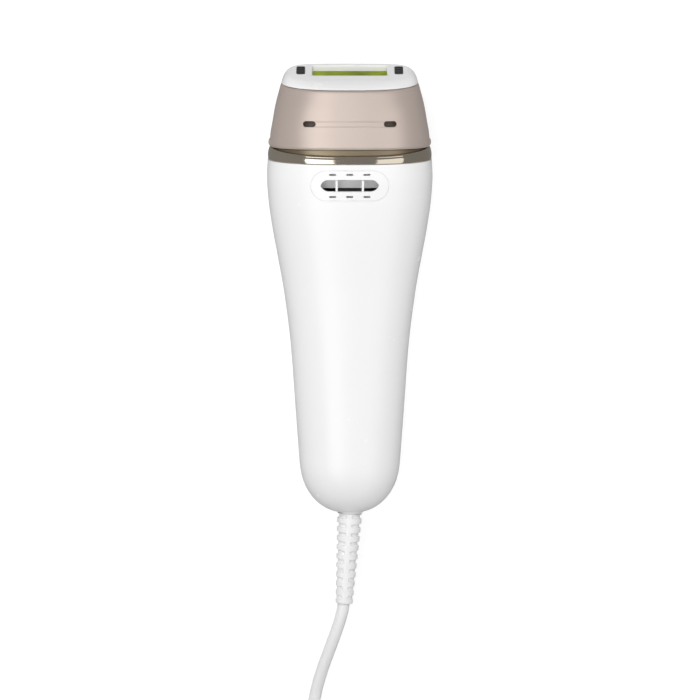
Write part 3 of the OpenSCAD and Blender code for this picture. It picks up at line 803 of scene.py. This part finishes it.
def make_cap(looks):
    """Champagne cap with rounded rims, two latch windows and two fine grooves; its side tabs are separate
    pieces.
    """
    spots = [61.65, 61.7, 61.8, 61.95, 62.2, 62.45, 62.7] + [62.7 + 25.4 * i / 40 for i in range(1, 41)]
    spots += [88.2, 88.35, 88.5, 88.62, 88.7]
    outer = [cap_form.ring(s) for s in spots]
    inner = [cap_form.ring(s, CAP_WALL) for s in (88.55, 84, 80, 76, 72, 68, 64, 62.6, 61.75)]
    obj = solid("champagne_cap", outer + inner, closed=True)
    for side in (-1, 1):
        combine(obj, prism("window", stadium(5.4, 2.5, side * LATCH_X, LATCH_Y), 30, 60))
        rim = prism("rim", stadium(5.4, 2.4), -0.28, 1.2, grow=0.9)
        z, beyond = cap_form.top(LATCH_X, LATCH_Y), cap_form.top(LATCH_X + 1, LATCH_Y)
        tilt = Matrix.Rotation(side * math.atan(z - beyond), 4, "Y")
        transform(rim, Matrix.Translation(Vector((side * LATCH_X, LATCH_Y, z)) * MM) @ tilt)
        combine(obj, rim)
    for dy in (-1.1, 1.1):
        combine(obj, groove(LATCH_Y + dy))
    shade_by_form(obj, cap_form)
    paint(obj, looks["cap_champagne"])
    return obj


def make_tab(side, looks):
    """Grip tab at the cap's lower corner: a small rounded bar along the cap's side."""
    rings = []
    for i in range(13):
        t = -1 + i / 6
        size = math.sqrt(max(0.0, 1 - abs(t) ** 3.5)) * 0.97 + 0.03
        z = BEND_Z + t * 7
        rings.append([(side * (33.7 + 1.15 * x), 63.4 + 1.65 * y, z) for x, y in circle(size, 28)])
    obj = solid("grip_tab_left" if side < 0 else "grip_tab_right", rings)
    mark_sharp(obj, 60)
    paint(obj, looks["cap_champagne"])
    return obj


def hole_ring(length, width, r, depth, guide):
    """A rounded rectangle in the skin face, met by rays towards the guide ring's points."""
    outline = rounded_rectangle(length, width, r, steps=12)
    points = []
    for gx, gy in guide:
        a = math.atan2(gy, gx)
        best = None
        for i in range(len(outline)):
            (x1, y1), (x2, y2) = outline[i - 1], outline[i]
            cross1 = math.cos(a) * y1 - math.sin(a) * x1
            cross2 = math.cos(a) * y2 - math.sin(a) * x2
            if cross1 * cross2 <= 0 and cross1 != cross2:
                t = cross1 / (cross1 - cross2)
                x, y = x1 + (x2 - x1) * t, y1 + (y2 - y1) * t
                if x * math.cos(a) + y * math.sin(a) > 0:
                    best = (x, y)
        points.append((best[0], best[1], depth))
    return points


def make_frame(looks):
    """White frame: rounded flank, flat skin face, window lip and recess in one skin."""
    place = window_matrix()
    to_local = place.inverted()
    edge = frame_form.ring(93.3)
    local = [to_local @ (Vector(p) * MM) for p in edge]
    guide = [(p.x / MM, p.y / MM) for p in local]
    wide, high = WINDOW_L, WINDOW_W

    def lifted(ring):
        """Points of the window's own frame, moved to the object's."""
        return [tuple(c / MM for c in (place @ (Vector(p) * MM))) for p in ring]

    def blend_ring(share):
        """A ring of the skin face, from its outer edge (0) to the window (1)."""
        hole = hole_ring(wide + 1.6, high + 1.2, 1.9, 0, guide)
        return [(gx + (h[0] - gx) * share, gy + (h[1] - gy) * share, 0)
                for (gx, gy), h in zip(guide, hole)]

    flank = [89.1, 89.25] + [89.25 + 4.05 * math.sin(math.pi / 2 * i / 22) for i in range(1, 22)]
    skirt = Form([(86.9, 6.5, 27.5, 5.6, 42.3, 2.5), (88.9, 6.5, 27.5, 5.6, 42.3, 2.5)])
    rings = [skirt.ring(86.9), skirt.ring(88.85), frame_form.ring(89.0, 0.5), frame_form.ring(89.02, 0.2)]
    rings += [frame_form.ring(s) for s in flank]
    rings.append(edge)
    rings += [lifted(blend_ring(t)) for t in (0.12, 0.5, 1.0)]
    for grow, depth in ((0.62, -0.04), (0.36, -0.16), (0.16, -0.36), (0.04, -0.62), (0, -0.9)):
        rings.append(lifted(hole_ring(wide + 1.6 * grow, high + 1.2 * grow, 1.0 + grow, depth, guide)))
    rings.append(lifted(hole_ring(wide, high, 1.0, 0.05 - RECESS, guide)))
    rings.append(lifted(hole_ring(wide + 5, high + 4, 2.0, 0.05 - RECESS, guide)))
    hollow = Form([(86.9, 6.5, 25.9, 7.4, 40.4, 2.5), (89.2, 8, 25.4, 9, 38.6, 2.8),
                   (90.4, 12, 23.4, 12.4, 33.4, 4)])
    rings += [hollow.ring(s) for s in (90.4, 89.6, 88.4, 86.9)]
    obj = solid("white_frame", rings, closed=True)
    for side in (-1, 1):
        outline = rounded_rectangle(SENSOR_W + 0.15, SENSOR_L + 0.15, 1.0, side * SENSOR_X, 0)
        hole = prism("sensor_hole", outline, -6, 2)
        transform(hole, place)
        combine(obj, hole)
    mark_sharp(obj, 38)
    paint(obj, looks["shell_white"])
    return obj


def make_sensor(side, looks):
    """Dark sensor window: rounded bezel, sunk pane and three raised pads."""
    name = "sensor_left" if side < 0 else "sensor_right"
    cx = side * SENSOR_X
    obj = prism(name, rounded_rectangle(SENSOR_W, SENSOR_L, 0.95, cx, 0), -7.6, 0.1)
    combine(obj, prism("pane", rounded_rectangle(2.7, SENSOR_L - 1.6, 0.6, cx, 0), -0.3, 2, grow=0.2))
    for dy in (-2.3, 0, 2.3):
        pad = prism("pad", rounded_rectangle(2.3, 1.0, 0.2, cx, dy), -0.6, 0.02)
        combine(obj, pad, "UNION")
    transform(obj, window_matrix())
    mark_sharp(obj, 35)
    paint(obj, looks["sensor_dark"])
    return obj


# ---------------------------------------------------------------- assembly

replaced = set()


def stand_in(obj, body, slot, *nodes):
    """The piece rides on a body in place of CAD nodes; slot is not used."""
    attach(obj, body)
    if nodes:
        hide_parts(*nodes)
        replaced.update(nodes)


def dress_cad_nodes(looks):
    """The carried-over CAD nodes take their slot's material and softened edges."""
    slots = {s["node"]: s["material_slot"] for s in record["subparts"]}
    soft = {"flash_button": 0.9, "mode_button": 0.5, "button_bezel": 0.5, "plug_pins": 0.6, "cord_tie": 0.3}
    for name, obj in frame["nodes"].items():
        if name in replaced:
            continue
        mat = looks[slots[name]]
        if obj.material_slots:
            for place in obj.material_slots:
                place.material = mat
        else:
            obj.data.materials.append(mat)
        bevel(obj, soft.get(name, 0.15), 2 if name not in soft else 4)


def make_floor():
    """A lit white sweep, kept out of the metal's reflections as black cards would."""
    size, z = 3.0, -0.0002
    corners = [(-size, -size, z), (size, -size, z), (size, size, z), (-size, size, z)]
    mesh = bpy.data.meshes.new("floor")
    mesh.from_pydata(corners, [], [(0, 1, 2, 3)])
    obj = bpy.data.objects.new("floor", mesh)
    bpy.context.scene.collection.objects.link(obj)
    mesh.materials.append(material("floor", (0.3, 0.3, 0.3), 0.9, tint=0.0, Specular_IOR_Level=0.1,
                                   Emission_Color=(1, 1, 1, 1), Emission_Strength=0.78))
    obj.visible_glossy = False


def area_light(name, location, target, size, power):
    data = bpy.data.lights.new(name, "AREA")
    data.shape = "RECTANGLE"
    data.size, data.size_y = size
    data.energy = power
    obj = bpy.data.objects.new(name, data)
    obj.location = location
    aim = (Vector(target) - Vector(location)).to_track_quat("-Z", "Y")
    obj.rotation_euler = aim.to_euler()
    bpy.context.scene.collection.objects.link(obj)
    return obj


def make_light():
    """Two long softboxes beside the object, two fills, and a world a little brighter at the left."""
    world = bpy.data.worlds.new("studio")
    bpy.context.scene.world = world
    world.use_nodes = True
    nodes, links = world.node_tree.nodes, world.node_tree.links
    where = nodes.new("ShaderNodeTexCoord")
    parts = nodes.new("ShaderNodeSeparateXYZ")
    span = nodes.new("ShaderNodeMapRange")
    links.new(where.outputs["Generated"], parts.inputs["Vector"])
    links.new(parts.outputs["X"], span.inputs["Value"])
    span.inputs["From Min"].default_value = -1
    span.inputs["To Min"].default_value = 0.24
    span.inputs["To Max"].default_value = 0.2
    links.new(span.outputs["Result"], nodes["Background"].inputs["Strength"])
    nodes["Background"].inputs["Color"].default_value = (1, 1, 1, 1)
    area_light("left_softbox", (-0.42, 0.0, 1.3), (0, 0, 0.03), (1.8, 0.62), 5.7)
    area_light("right_softbox", (0.66, 0.0, 1.2), (0, 0, 0.03), (1.8, 0.8), 3.7)
    fill = area_light("head_fill", (-0.25, 0.75, 1.2), (0, 0.05, 0.03), (0.7, 0.7), 8.5)
    fill.visible_glossy = False
    top = area_light("top_fill", (0.06, -0.1, 1.4), (0, 0, 0.03), (1.6, 0.3), 5.0)
    top.visible_glossy = False
    bpy.context.scene.view_settings.view_transform = "Standard"


def main():
    make_camera()
    looks = make_materials()

    lead = make_cord(looks)
    relief = make_relief(looks)
    plug = make_plug(looks)
    stand_in(lead, "handset", "cord_white", "cord_tube", "cord_coil", "cord_tail")
    stand_in(relief, "handset", "cord_white", "strain_relief")
    stand_in(plug, "handset", "plug_white", "plug_body")

    stand_in(make_rear_shell(looks), "handset", "shell_white", "rear_shell")
    stand_in(make_front_shell(looks), "handset", "shell_white", "front_shell")
    stand_in(make_vent(looks), "handset", "shell_white", "vent_insert")
    stand_in(make_trim_ring(looks), "handset", "ring_metal", "trim_ring")
    stand_in(make_collar(looks), "handset", "collar_gold", "head_collar")

    stand_in(make_cap(looks), "head", "cap_champagne", "head_cap")
    for side in (-1, 1):
        stand_in(make_tab(side, looks), "head", "cap_champagne")
        stand_in(make_sensor(side, looks), "head", "sensor_dark", "sensor_windows")
    stand_in(make_frame(looks), "head", "shell_white", "window_frame")

    dress_cad_nodes(looks)
    make_floor()
    make_light()


main()
